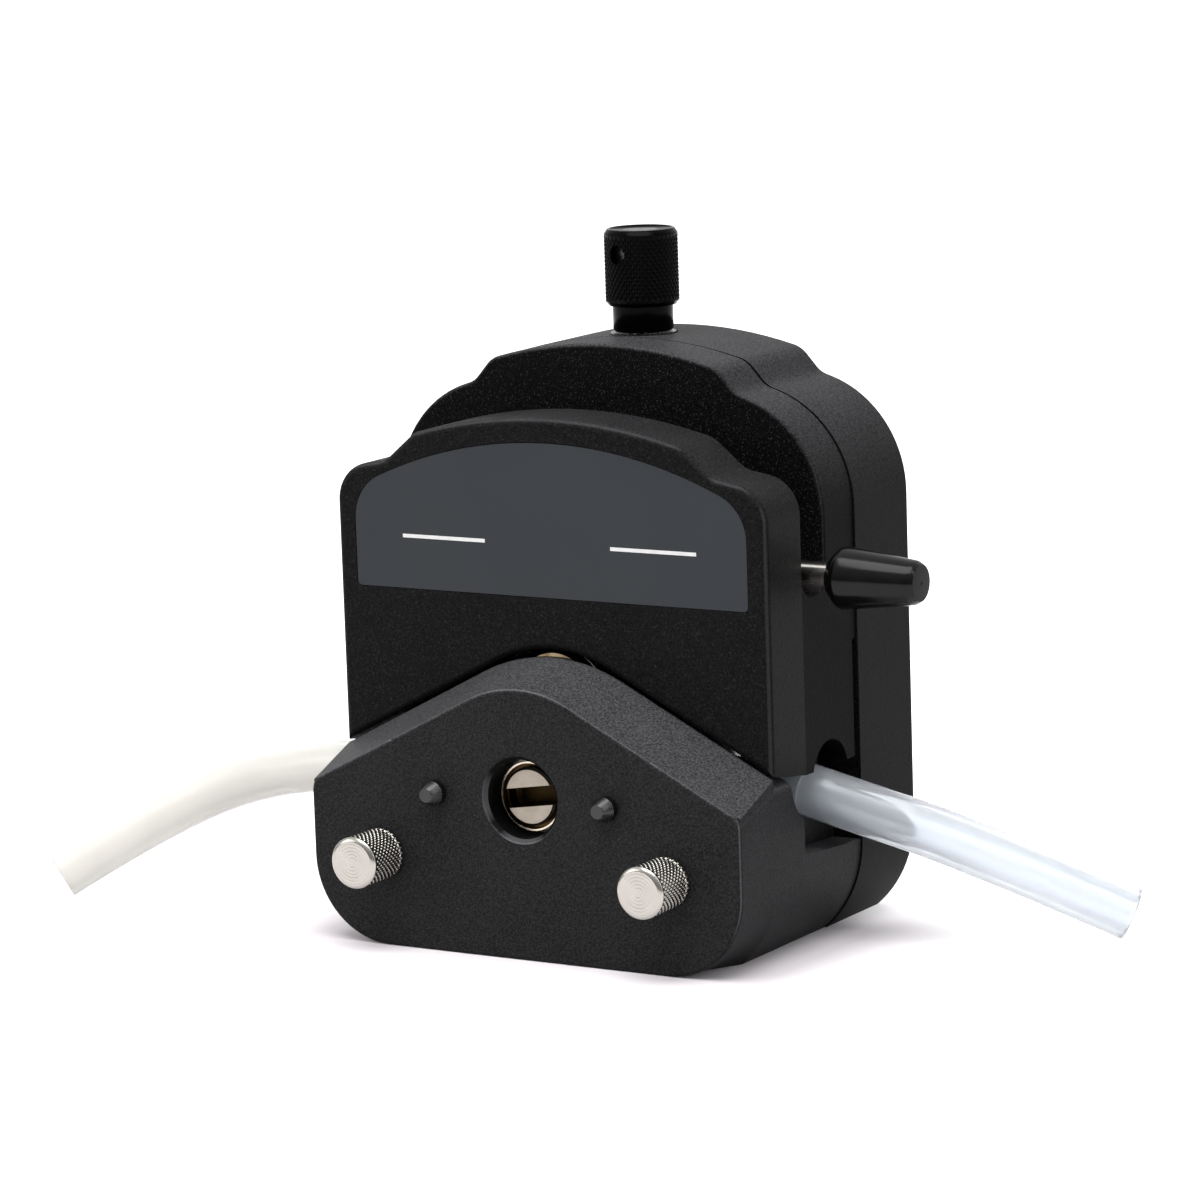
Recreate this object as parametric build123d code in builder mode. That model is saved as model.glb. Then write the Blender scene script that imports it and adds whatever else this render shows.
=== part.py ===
from build123d import *
import math
import os

# Quick-load peristaltic pump head, three rollers.
# Frame: the origin is on the drive axis where it meets the rear mounting face.
# -Y is the front, +Y the drive, +Z up.  All lengths in millimetres.
# "d" below is a depth measured forward of the rear face, so a plane at d lies at y = -d.
os.makedirs("parts", exist_ok=True)

# ---- driving dimensions --------------------------------------------------
SHAFT_R = 6.0                 # drive shaft, 12 mm
HALF_W = 50.5                 # half the width of the body
REAR_STEP = 0.4               # the rear housing is this much wider on each side
BASE_Z = -33.0                # the flat the head stands on
SEAM = 22.8                   # front of the rear housing
GAP = 0.3                     # between pieces that move against each other
MID_BACK = SEAM + GAP
LEVER_Z, LEVER_D, LEVER_ROD_R, LEVER_ROD_LONG = 43.4, 40.0, 3.0, 63.0
SLOT_HALF, SLOT_FLOOR = 4.7, 41.6    # the lever's slot: half its width, and its floor
SLOT_BACK, SLOT_FRONT = LEVER_D - SLOT_HALF, LEVER_D + SLOT_HALF
COVER_THICK = 13.9
COVER_FRONT = SLOT_FRONT + COVER_THICK
LOFT_D = COVER_FRONT - 1.6    # the lower block's slopes drop forward from here
FRONT = COVER_FRONT + 13.4    # front face of the lower block
CAVITY_R, CAVITY_BACK, CAVITY_FRONT = 29.6, 11.5, FRONT - 14.1
TUBE_D = (CAVITY_BACK + CAVITY_FRONT) / 2    # plane of the tube's axis
TUBE_R, TUBE_BORE_R = 5.4, 3.2
TRACK_R = 31.6
BAND_IN, BAND_OUT = 28.05, 31.3   # the tube pressed between rollers and track
BAND_WIDE, BAND_ANGLE = 15.5, 28
HELD = 6.2                    # straight stretch of tube inside its clamp
BEARING_R, BEARING_W, RACE_OUT, RACE_IN = 12.0, 6.0, 7.88, 7.8
SHAFT_HOLE_R = RACE_OUT + 0.27
PITCH_R, ROLLER_R, PIN_R, BUSH_R = 18.6, 9.1, 3.0, 4.9
ROLLER_ANGLES = (90, 210, 330)
HUB_R, PLATE_T, END_PLAY = 8.8, 4.0, 0.6    # rotor: spacer and arms, cheek plates, room at each end
SLOPE = 0.51                  # tangent of the slope of the split between the blocks
SPLIT_Z, SPLIT_GAP = 29.6, 0.6    # where the upper block's slopes would meet, and the gap below them
FRONT_DROP = 3.3              # the slopes are this much lower at the front face
RIDGE_R, COVER_RIDGE_R, COVER_RISE = 26.0, 28.0, 2.2
THROW = 6.0                   # eccentric of the lever: half the block's lift
LEVER_SHAFT_R, LEVER_DISC_R, ECCENTRIC_R = 5.0, 8.7, 2.5
KNOB_X, KNOB_D, KNOB_SCREW_R = -2.0, 14.8, 3.0
KNOB_HOLE_Z = 104.0
CARRIAGE_BACK, CARRIAGE_FRONT = KNOB_D - 5.0, SEAM - 0.4
ROD_X, ROD_D, ROD_R, ROD_LOW, ROD_TOP = HALF_W - 12.9, SLOT_FRONT + 6.8, 3.0, -8.0, 42.0
THUMB_X, THUMB_Z, THUMB_R = HALF_W - 16.85, -13.66, 5.33
THUMB_HEAD, THUMB_SHANK_R, THUMB_THREAD_R, THUMB_THREAD = 10.9, 2.2, 2.5, 10.0
LOCATE_X, LOCATE_R, LOCATE_SHANK_R, LOCATE_DEEP = 20.2, 2.6, 1.9, 8.0
LOCATE_STRAIGHT, LOCATE_OUT, LOCATE_TIP_R = 1.6, 3.8, 1.35
RUNNING = 0.06                # between a bar and the bore that it slides or turns in
SCREW_R, SCREW_HEAD_R, SCREW_HEAD = 2.0, 3.5, 4.0
HOUSING_SCREWS = ((HALF_W - 10.5, -22.0), (HALF_W - 28.5, -27.0))
COVER_SCREWS = ((HALF_W - 24.5, 34.0), (HALF_W - 6.0, 20.0))
CLAMP_IN, CLAMP_OUT = HALF_W - 9.5, HALF_W - 6.0
CHANNEL_IN, CHANNEL_HALF, CHANNEL_FLOOR = 24.0, 8.6, -8.2
POCKET_FRONT, POCKET_LOW = TUBE_D + 11.4, -12.4
EXIT_Z = -1.3
# corners of the two free tubes' routes, from the clamps outward
RIGHT_RUN = ((CLAMP_OUT, -TUBE_D, EXIT_Z), (56.0, -33.5, -4.4), (75.0, -25.0, -11.7), (105.3, -10.5, -27.0))
LEFT_RUN = ((-CLAMP_OUT, -TUBE_D, EXIT_Z), (-58.0, -34.6, -4.8), (-84.5, -37.0, -6.8),
            (-104.0, -49.7, -14.8), (-120.9, -66.0, -27.5))


def leaving(run):
    """Where a tube leaves its clamp, and its direction there."""
    a, b = Vector(*run[0]), Vector(*run[1])
    return a, (b - a).normalized()


# ---- small helpers -------------------------------------------------------
def slab(face, d0, d1, mode=Mode.ADD):
    """Extrudes a face drawn in (x, z) from depth d0 forward to depth d1."""
    extrude(Plane.XZ.offset(d0) * face, amount=d1 - d0, mode=mode)


def disc(x, z, r, hole=0.0):
    with BuildSketch(Plane.XY) as sk:
        with Locations((x, z)):
            Circle(r)
            if hole:
                Circle(hole, mode=Mode.SUBTRACT)
    return sk.sketch


def box_xz(x0, x1, z0, z1, r=0.0):
    with BuildSketch(Plane.XY) as sk:
        with Locations(((x0 + x1) / 2, (z0 + z1) / 2)):
            if r:
                RectangleRounded(x1 - x0, z1 - z0, r)
            else:
                Rectangle(x1 - x0, z1 - z0)
    return sk.sketch


def post(x, z, r, d0, d1, mode=Mode.ADD, hole=0.0):
    slab(disc(x, z, r, hole), d0, d1, mode)


def block(x0, x1, d0, d1, z0, z1, mode=Mode.ADD):
    slab(box_xz(x0, x1, z0, z1), d0, d1, mode)


def upright(x, d, r, z0, z1, mode=Mode.ADD, hole=0.0):
    """A round bar along Z between two heights."""
    with BuildSketch(Plane.XY) as sk:
        Circle(r)
        if hole:
            Circle(hole, mode=Mode.SUBTRACT)
    extrude(Plane((x, -d, z0)) * sk.sketch, amount=z1 - z0, mode=mode)


def along(origin, direction, r, length, mode=Mode.ADD):
    """A round bar from a point along a direction."""
    with BuildSketch(Plane.XY) as sk:
        Circle(r)
    extrude(Plane(origin=origin, z_dir=direction) * sk.sketch, amount=length, mode=mode)


def nearest(vertices, points):
    return [min(vertices, key=lambda v: (v.X - x) ** 2 + (v.Y - z) ** 2) for x, z in points]


def sides(*points):
    """The points and their mirror images across the middle plane."""
    return [(s * x, z) for x, z in points for s in (1, -1)]


def crowned(apex, foot_a, foot_f, corner, r_a, r_f, r_corner, lower):
    """A crowned top with two shoulders; `lower` gives the right side's points below the corner."""
    right = [corner, *lower]
    with BuildSketch(Plane.XY) as sk:
        with BuildLine():
            ThreePointArc((-foot_a[0], foot_a[1]), (0, apex), foot_a)
            Polyline(foot_a, foot_f, *right, *[(-x, z) for x, z in reversed(right)],
                     (-foot_f[0], foot_f[1]), (-foot_a[0], foot_a[1]))
        make_face()
        fillet(nearest(sk.vertices(), sides(corner)), r_corner)
        fillet(nearest(sk.vertices(), sides(foot_f)), r_f)
        fillet(nearest(sk.vertices(), sides(foot_a)), r_a)
    return sk.sketch


def body_top(half, lower):
    return crowned(87.4, (half - 23.7, 83.54), (half - 19.3, 78.6), (half, 72.6), 6.0, 5.0, 24.2,
                   lower)


def roof_point(v0, x):
    return (x, v0 - SLOPE * x)


def split_outline(half, v0, r_apex, r_side, r_low):
    """The lower block's outline: a rounded ridge, two slopes, two sides and a flat base."""
    tilt = math.atan(SLOPE)
    zc = v0 - r_apex / math.cos(tilt)
    ridge = (r_apex * math.sin(tilt), zc + r_apex * math.cos(tilt))
    corner = roof_point(v0, half)
    t = r_side * math.tan((math.pi / 2 - tilt) / 2)
    slope_end = (corner[0] - t * math.cos(tilt), corner[1] + t * math.sin(tilt))
    side_top = (half, corner[1] - t)
    bend = math.pi / 2 - tilt
    c1 = (half - r_side, side_top[1])
    mid1 = (c1[0] + r_side * math.cos(bend / 2), c1[1] + r_side * math.sin(bend / 2))
    c2 = (half - r_low, min(BASE_Z + r_low, LOW_Z))
    side_low = (half, c2[1])
    base_x = c2[0] + math.sqrt(max(r_low ** 2 - (c2[1] - BASE_Z) ** 2, 0.0))
    end = math.atan2(BASE_Z - c2[1], base_x - c2[0])
    mid2 = (c2[0] + r_low * math.cos(end / 2), c2[1] + r_low * math.sin(end / 2))
    base = (base_x, BASE_Z)

    def m(p):
        return (-p[0], p[1])

    with BuildSketch(Plane.XY) as sk:
        with BuildLine():
            ThreePointArc(m(ridge), (0, zc + r_apex), ridge)
            Line(ridge, slope_end)
            ThreePointArc(slope_end, mid1, side_top)
            Line(side_top, side_low)
            ThreePointArc(side_low, mid2, base)
            Line(base, m(base))
            ThreePointArc(m(base), m(mid2), m(side_low))
            Line(m(side_low), m(side_top))
            ThreePointArc(m(side_top), m(mid1), m(slope_end))
            Line(m(slope_end), m(ridge))
        make_face()
    return sk.sketch


def under_roof(v0, r_apex=0.0):
    """Everything below a roof line, as a cutting face."""
    with BuildSketch(Plane.XY) as sk:
        with BuildLine():
            Polyline((-60, -60), (60, -60), roof_point(v0, 60), (0, v0), (-60, v0 - SLOPE * 60),
                     (-60, -60))
        make_face()
        if r_apex:
            fillet(nearest(sk.vertices(), [(0, v0)]), r_apex)
    return sk.sketch


# ---- rear housing --------------------------------------------------------
REAR_HALF = HALF_W + REAR_STEP
LOW_R, LOW_Z = 25.0, -13.8    # the big lower corners, and the height of their centres
LOW_C = REAR_HALF - LOW_R
LOW_X = LOW_C + math.sqrt(LOW_R ** 2 - (LOW_Z - BASE_Z) ** 2)
POCKET_X, POCKET_Z0, POCKET_Z1 = 13.0, 42.2, 64.0    # the gap carriage's pocket
KNOB_SEAT = 86.9
SCREW_HEAD_HOLE = SCREW_HEAD_R + 0.3


def rear_outline():
    with BuildSketch(Plane.XY) as sk:
        add(body_top(REAR_HALF, [(REAR_HALF, LOW_Z), (LOW_X, BASE_Z)]))
        with BuildSketch(Plane.XY, mode=Mode.PRIVATE) as bulge:
            for s in (1, -1):
                with Locations((s * LOW_C, LOW_Z)):
                    Circle(LOW_R)
        with BuildSketch(Plane.XY, mode=Mode.PRIVATE) as corner:
            for s in (1, -1):
                with BuildLine():
                    Polyline((s * LOW_C, LOW_Z), (s * 60, LOW_Z), (s * 60, BASE_Z),
                             (s * LOW_C, BASE_Z), (s * LOW_C, LOW_Z))
                make_face()
        add(bulge.sketch & corner.sketch)
    return sk.sketch


with BuildPart() as rear_housing:
    slab(rear_outline(), 0, SEAM)
    back_edges = [e for e in rear_housing.edges() if abs(e.center().Y) < 1e-4]
    fillet(back_edges, 0.5)
    post(0, 0, CAVITY_R, CAVITY_BACK, SEAM, Mode.SUBTRACT)
    post(0, 0, BEARING_R, CAVITY_BACK - BEARING_W, CAVITY_BACK, Mode.SUBTRACT)
    post(0, 0, SHAFT_HOLE_R, 0, CAVITY_BACK, Mode.SUBTRACT)
    block(-POCKET_X, POCKET_X, CARRIAGE_BACK - GAP, SEAM, POCKET_Z0, POCKET_Z1, Mode.SUBTRACT)
    upright(KNOB_X, KNOB_D, KNOB_SCREW_R + RUNNING, POCKET_Z1 - 4, KNOB_SEAT + 8, Mode.SUBTRACT)
    upright(KNOB_X, KNOB_D, 7.1, KNOB_SEAT, KNOB_SEAT + 8, Mode.SUBTRACT)
    for s in (1, -1):
        post(s * LOCATE_X, 0, LOCATE_R + 0.1, 0, LOCATE_DEEP, Mode.SUBTRACT)
        post(s * THUMB_X, THUMB_Z, THUMB_THREAD_R + GAP, 0, SEAM, Mode.SUBTRACT)
        for x, z in HOUSING_SCREWS:
            post(s * x, z, SCREW_R + 0.2, 0, SEAM, Mode.SUBTRACT)
            post(s * x, z, SCREW_HEAD_HOLE, 0, 1 + SCREW_HEAD, Mode.SUBTRACT)

# ---- lower block ---------------------------------------------------------
ROOF_Z = SPLIT_Z - SPLIT_GAP


def pocket_side():
    """The outer pocket seen from the side, in (y, z)."""
    top = -(POCKET_FRONT + 5.1)
    with BuildSketch(Plane.XY) as sk:
        with BuildLine():
            Polyline((top, 60), (top, 3.0), (top + 0.5, 1.3))
            Spline((top + 0.5, 1.3), (top + 1.6, -1.3), (top + 3.5, -3.7), (-POCKET_FRONT, -6.0),
                   tangents=((0.3, -1), (0, -1)))
            Polyline((-POCKET_FRONT, -6.0), (-POCKET_FRONT, POCKET_LOW), (-SEAM, POCKET_LOW - 1.3),
                     (-SEAM + 2.8, POCKET_LOW - 1.5), (-SEAM + 2.8, 60), (top, 60))
        make_face()
        fillet(nearest(sk.vertices(), [(-POCKET_FRONT, POCKET_LOW)]), 1.7)
    return sk.sketch


with BuildPart() as lower_block:
    slab(split_outline(HALF_W, ROOF_Z, RIDGE_R, 1.5, LOW_R), SEAM, LOFT_D)
    loft([Plane.XZ.offset(LOFT_D) * split_outline(HALF_W, ROOF_Z, RIDGE_R, 1.5, LOW_R),
          Plane.XZ.offset(FRONT) * split_outline(HALF_W, ROOF_Z - FRONT_DROP, RIDGE_R, 3.5, 17.5)],
         ruled=True)
    rim = [e for e in lower_block.edges() if abs(e.center().Y + FRONT) < 1e-4]
    fillet(rim, 0.7)
    post(0, 0, CAVITY_R, SEAM, CAVITY_FRONT, Mode.SUBTRACT)
    post(0, 0, BEARING_R, CAVITY_FRONT, CAVITY_FRONT + BEARING_W, Mode.SUBTRACT)
    post(0, 0, SHAFT_HOLE_R, CAVITY_FRONT, FRONT, Mode.SUBTRACT)
    mouth = [e for e in lower_block.edges().filter_by(GeomType.CIRCLE)
             if abs(e.radius - SHAFT_HOLE_R) < 1e-3 and abs(e.center().Y + FRONT) < 1e-3]
    chamfer(mouth, 0.9)
    for s in (1, -1):
        block(min(s * CHANNEL_IN, s * CLAMP_IN), max(s * CHANNEL_IN, s * CLAMP_IN),
              TUBE_D - CHANNEL_HALF, TUBE_D + CHANNEL_HALF, CHANNEL_FLOOR, 60, Mode.SUBTRACT)
        extrude(Plane.YZ.offset(CLAMP_IN if s > 0 else -CLAMP_IN - 19) * pocket_side(), amount=19,
                mode=Mode.SUBTRACT)
        post(s * LOCATE_X, 0, LOCATE_SHANK_R, FRONT - LOCATE_DEEP, FRONT, Mode.SUBTRACT)
        post(s * THUMB_X, THUMB_Z, THUMB_THREAD_R + GAP, SEAM, FRONT, Mode.SUBTRACT)
        upright(s * ROD_X, ROD_D, ROD_R, ROD_LOW, 60, Mode.SUBTRACT)
        for x, z in HOUSING_SCREWS:
            post(s * x, z, SCREW_R, SEAM, SEAM + 12, Mode.SUBTRACT)

# ---- pieces fixed to the two housings ------------------------------------
with BuildPart() as guide_rods:
    for s in (1, -1):
        upright(s * ROD_X, ROD_D, ROD_R, ROD_LOW, ROD_TOP)
    tips = [e for e in guide_rods.edges().filter_by(GeomType.CIRCLE)
            if abs(e.center().Z - ROD_TOP) < 1e-3]
    chamfer(tips, 0.6)

with BuildPart() as locating_pins:
    for s in (1, -1):
        with BuildSketch(Plane.XY) as pin:
            with BuildLine():
                Polyline((0, -FRONT + LOCATE_DEEP), (LOCATE_SHANK_R, -FRONT + LOCATE_DEEP),
                         (LOCATE_SHANK_R, -FRONT), (LOCATE_R, -FRONT),
                         (LOCATE_R, -FRONT - LOCATE_STRAIGHT), (LOCATE_TIP_R, -FRONT - LOCATE_OUT),
                         (0, -FRONT - LOCATE_OUT), (0, -FRONT + LOCATE_DEEP))
            make_face()
        revolve(Pos(s * LOCATE_X, 0, 0) * pin.sketch, axis=Axis((s * LOCATE_X, 0, 0), (0, 1, 0)))

with BuildPart() as front_bearing:
    post(0, 0, BEARING_R, CAVITY_FRONT, CAVITY_FRONT + BEARING_W, hole=RACE_OUT)

with BuildPart() as rear_bearing:
    post(0, 0, BEARING_R, CAVITY_BACK - BEARING_W, CAVITY_BACK, hole=RACE_OUT)

with BuildPart() as housing_screws:
    for s in (1, -1):
        for x, z in HOUSING_SCREWS:
            post(s * x, z, SCREW_HEAD_R, 1, 1 + SCREW_HEAD)
            post(s * x, z, SCREW_R, 1 + SCREW_HEAD, SEAM + 12)
            slab(Pos(s * x, z) * box_xz(-1.3, 1.3, -1.3, 1.3), 1, 3.2, Mode.SUBTRACT)

clamps = {}
for side, s, run in (("left", -1, LEFT_RUN), ("right", 1, RIGHT_RUN)):
    with BuildPart() as clamp:
        with BuildSketch(Plane.XY) as plate:
            with BuildLine():
                Polyline((0.2 - POCKET_FRONT, -3), (0.2 - POCKET_FRONT, POCKET_LOW + 0.15),
                         (-0.2 - SEAM, POCKET_LOW - 1.1), (-0.2 - SEAM, -3), (0.2 - POCKET_FRONT, -3))
            make_face()
            fillet(nearest(plate.vertices(), [(0.2 - POCKET_FRONT, POCKET_LOW + 0.15)]), 1.6)
        extrude(Plane.YZ.offset(CLAMP_IN if s > 0 else -CLAMP_OUT) * plate.sketch,
                amount=CLAMP_OUT - CLAMP_IN)
        start, out = leaving(run)
        along(start - out * 8, out, TUBE_R + RUNNING, 14, Mode.SUBTRACT)
    clamps[side] = clamp
tube_clamp_left, tube_clamp_right = clamps["left"], clamps["right"]


# ---- tube ----------------------------------------------------------------
def tube_section(wide, thick, squareness):
    """A closed smooth section: 2 is an ellipse, more is squarer."""
    def corner(value, half):
        return half * math.copysign(abs(value) ** (2 / squareness), value)

    turns = [2 * math.pi * n / 24 for n in range(24)]
    with BuildSketch(Plane.XY) as sk:
        with BuildLine():
            Spline([(corner(math.cos(t), wide / 2), corner(math.sin(t), thick / 2)) for t in turns],
                   periodic=True)
        make_face()
    return sk.sketch


def across(place, way):
    """The plane across the tube's path there, with the section's width along Y."""
    return Plane(origin=place, x_dir=(0, 1, 0), z_dir=way)


LEAVE = math.radians(BAND_ANGLE)
BAND_MID = (BAND_IN + BAND_OUT) / 2
pressed = tube_section(BAND_WIDE, BAND_OUT - BAND_IN, 3.2)
easing = tube_section(13.5, 6.5, 2.6)
rounded = tube_section(2 * TUBE_R, 2 * TUBE_R, 2.0)

with BuildPart() as tube_loaded:
    band_start = Vector(BAND_MID * math.cos(LEAVE), -TUBE_D, BAND_MID * math.sin(LEAVE))
    band_way = Vector(math.sin(LEAVE), 0, -math.cos(LEAVE))
    revolve(across(band_start, band_way) * pressed, axis=Axis((0, 0, 0), (0, -1, 0)),
            revolution_arc=180 - 2 * BAND_ANGLE)
    for s, run in ((1, RIGHT_RUN), (-1, LEFT_RUN)):
        end, out = leaving(run)
        held = across(end - out * HELD, out * s) * rounded
        loft([across(Vector(s * band_start.X, -TUBE_D, band_start.Z),
                     Vector(band_way.X, 0, s * band_way.Z)) * pressed,
              across(Vector(s * 31.8, -TUBE_D, 6.1), Vector(0.75, 0, s * -0.66)) * easing,
              held])
        extrude(held, amount=HELD, dir=out)
        along(end - out * HELD, out, TUBE_BORE_R, HELD + 1, Mode.SUBTRACT)


def free_tube(name, points):
    """A hanging tube: straight runs joined by tangent arcs, with its bore."""
    points = [Vector(*p) for p in points]
    radii = []
    for a, b, c in zip(points, points[1:], points[2:]):
        turn = (b - a).get_angle(c - b)
        radii.append(0.45 * min((b - a).length, (c - b).length) / math.tan(math.radians(turn) / 2))
    print(name, "bend radii", [round(r, 1) for r in radii])
    with BuildLine() as wire:
        FilletPolyline(*points, radius=radii)
    path = wire.wire()
    with BuildSketch(Plane(origin=points[0], z_dir=points[1] - points[0])) as ring:
        Circle(TUBE_R)
        Circle(TUBE_BORE_R, mode=Mode.SUBTRACT)
    print(name, "length", round(path.length, 1))
    return path, ring.sketch


with BuildPart() as tube_right:
    right_path, right_ring = free_tube("tube_right", RIGHT_RUN)
    sweep(right_ring, path=right_path)

with BuildPart() as tube_left:
    left_path, left_ring = free_tube("tube_left", LEFT_RUN)
    sweep(left_ring, path=left_path)

# ---- upper block ---------------------------------------------------------
HUB_HOLE_R = LEVER_DISC_R + 0.2
DISC_FRONT = SEAM + 4.2
COUNTERBORE = 5.5             # how deep the cover screws' heads lie

with BuildPart() as mid_body:
    slab(body_top(HALF_W, [(HALF_W, -20)]), MID_BACK, SLOT_BACK)
    lip = [e for e in mid_body.edges() if abs(e.center().Y + SLOT_BACK) < 1e-4 and e.center().Z > -15]
    fillet(lip, 0.8)
    block(-HALF_W, HALF_W, SLOT_BACK - 1.0, SLOT_FRONT, -20, SLOT_FLOOR)
    slab(under_roof(SPLIT_Z), 0, FRONT, Mode.SUBTRACT)
    post(0, 0, TRACK_R, 0, FRONT, Mode.SUBTRACT)
    along((-60, -LEVER_D, LEVER_Z), (1, 0, 0), LEVER_ROD_R + 1.5, 120, Mode.SUBTRACT)
    post(0, LEVER_Z, HUB_HOLE_R, SLOT_BACK, FRONT, Mode.SUBTRACT)
    post(0, LEVER_Z, LEVER_SHAFT_R + 0.08, 0, SLOT_BACK, Mode.SUBTRACT)
    post(0, LEVER_Z, LEVER_DISC_R + GAP, 0, DISC_FRONT + GAP, Mode.SUBTRACT)
    block(-60, 60, 0, MID_BACK + 1.4, -30, 28, Mode.SUBTRACT)
    for s in (1, -1):
        along((s * 30, -TUBE_D, 2.1), (s, 0, 0), 7.2, 30, Mode.SUBTRACT)
        for x, z in COVER_SCREWS:
            post(s * x, z, SCREW_R + 0.2, 0, SLOT_FRONT, Mode.SUBTRACT)
            post(s * x, z, SCREW_HEAD_HOLE, 0, MID_BACK + COUNTERBORE, Mode.SUBTRACT)


def cover_outline():
    return crowned(75.3, (HALF_W - 19.0, 70.9), (HALF_W - 11.9, 65.0), (HALF_W, 62.9), 5.0, 5.0, 8.0,
                   [(HALF_W, -20)])


LABEL_DEEP, LABEL_GAP = 0.8, 0.15


def label_outline(inset):
    w, z0, zc, apex = HALF_W - 4.3 - inset, 38.7 + inset, 58.9, 70.4 - inset
    with BuildSketch(Plane.XY) as sk:
        with BuildLine():
            ThreePointArc((-w, zc), (0, apex), (w, zc))
            Polyline((w, zc), (w, z0), (-w, z0), (-w, zc))
        make_face()
        fillet(nearest(sk.vertices(), sides((w, zc))), 10 - inset)
        fillet(nearest(sk.vertices(), sides((w, z0))), 1.0)
    return sk.sketch


with BuildPart() as front_cover:
    slab(cover_outline(), SLOT_FRONT, COVER_FRONT)
    lean = Vector(0, -COVER_THICK, COVER_RISE)
    extrude(Plane.XZ.offset(SLOT_FRONT) * under_roof(SPLIT_Z, COVER_RIDGE_R), amount=lean.length * 1.2,
            dir=lean.normalized(), mode=Mode.SUBTRACT)
    face = [e for e in front_cover.edges() if abs(e.center().Y + COVER_FRONT) < 1e-4]
    fillet(face, 1.4)
    post(0, 0, CAVITY_R - 0.4, SLOT_FRONT - 5, COVER_FRONT - 1.0, Mode.SUBTRACT)
    slab(label_outline(0.0), COVER_FRONT - LABEL_DEEP, COVER_FRONT + 1, Mode.SUBTRACT)
    post(0, LEVER_Z, LEVER_SHAFT_R + 0.08, SLOT_FRONT - 1, SLOT_FRONT + 6.3, Mode.SUBTRACT)
    for s in (1, -1):
        upright(s * ROD_X, ROD_D, ROD_R + RUNNING, -30, ROD_TOP + 1.5, Mode.SUBTRACT)
        for x, z in COVER_SCREWS:
            post(s * x, z, SCREW_R, SLOT_FRONT - 1, SLOT_FRONT + 8, Mode.SUBTRACT)

with BuildPart() as label_plate:
    slab(label_outline(LABEL_GAP), COVER_FRONT - LABEL_DEEP, COVER_FRONT - 0.1)

with BuildPart() as cover_screws:
    head = MID_BACK + COUNTERBORE - SCREW_HEAD
    for s in (1, -1):
        for x, z in COVER_SCREWS:
            post(s * x, z, SCREW_HEAD_R, head, head + SCREW_HEAD)
            post(s * x, z, SCREW_R, head + SCREW_HEAD, SLOT_FRONT + 8)
            slab(Pos(s * x, z) * box_xz(-1.3, 1.3, -1.3, 1.3), head, head + 2.2, Mode.SUBTRACT)

# ---- lever ---------------------------------------------------------------
ECCENTRIC_BACK = KNOB_D + 4.2

with BuildPart() as lever_shaft:
    post(0, LEVER_Z, LEVER_SHAFT_R, DISC_FRONT, SLOT_FRONT + 6.0)
    post(0, LEVER_Z, LEVER_DISC_R, MID_BACK + GAP, DISC_FRONT)
    post(0, LEVER_Z + THROW, ECCENTRIC_R, ECCENTRIC_BACK, MID_BACK + GAP)

with BuildPart() as lever_hub:
    post(0, LEVER_Z, 8.5, SLOT_BACK + GAP, SLOT_FRONT - GAP, hole=LEVER_SHAFT_R)
    along((4.0, -LEVER_D, LEVER_Z), (1, 0, 0), LEVER_ROD_R, 8, Mode.SUBTRACT)

with BuildPart() as lever_rod:
    along((LEVER_SHAFT_R, -LEVER_D, LEVER_Z), (1, 0, 0), LEVER_ROD_R, LEVER_ROD_LONG)
    post(0, LEVER_Z, LEVER_SHAFT_R, LEVER_D - 10, LEVER_D + 10, Mode.SUBTRACT)


def grip_half():
    """Half the handle's section, along x from where it starts."""
    x0, rod = HALF_W + 4.7, LEVER_SHAFT_R + LEVER_ROD_LONG
    with BuildSketch(Plane.XY) as grip:
        with BuildLine():
            Polyline((x0, LEVER_ROD_R), (x0, 4.3), (x0 + 2.3, 6.4), (x0 + 18.4, 4.4), (x0 + 19.6, 3.7),
                     (x0 + 19.6, 0), (rod, 0), (rod, LEVER_ROD_R), (x0, LEVER_ROD_R))
        make_face()
        fillet(nearest(grip.vertices(), [(x0 + 2.3, 6.4)]), 1.2)
        fillet(nearest(grip.vertices(), [(x0 + 19.6, 3.7)]), 0.5)
    return grip.sketch


with BuildPart() as lever_handle:
    revolve(Pos(0, -LEVER_D, LEVER_Z) * grip_half(), axis=Axis((0, -LEVER_D, LEVER_Z), (1, 0, 0)))

# ---- gap adjuster --------------------------------------------------------
PIN_REST_Z = LEVER_Z + THROW    # the eccentric pin's height with the head closed

with BuildPart() as gap_carriage:
    block(GAP - POCKET_X, POCKET_X - GAP, CARRIAGE_BACK, CARRIAGE_FRONT, POCKET_Z0 + GAP, 59.5)
    slab(box_xz(-9, 9, PIN_REST_Z - 3.95, PIN_REST_Z + 3.95, 3.9), ECCENTRIC_BACK - 0.4, CARRIAGE_FRONT,
         Mode.SUBTRACT)
    upright(KNOB_X, KNOB_D, KNOB_SCREW_R + RUNNING, 40, 62, Mode.SUBTRACT)

with BuildPart() as knob_washer:
    upright(KNOB_X, KNOB_D, 6.8, KNOB_SEAT, KNOB_SEAT + 0.6, hole=3.4)

with BuildPart() as knob_screw:
    upright(KNOB_X, KNOB_D, KNOB_SCREW_R, 44, 100)

with BuildPart() as knob_retaining_ring:
    upright(KNOB_X, KNOB_D, 4.5, POCKET_Z1 - 1.1, POCKET_Z1 - 0.3, hole=KNOB_SCREW_R)

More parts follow.
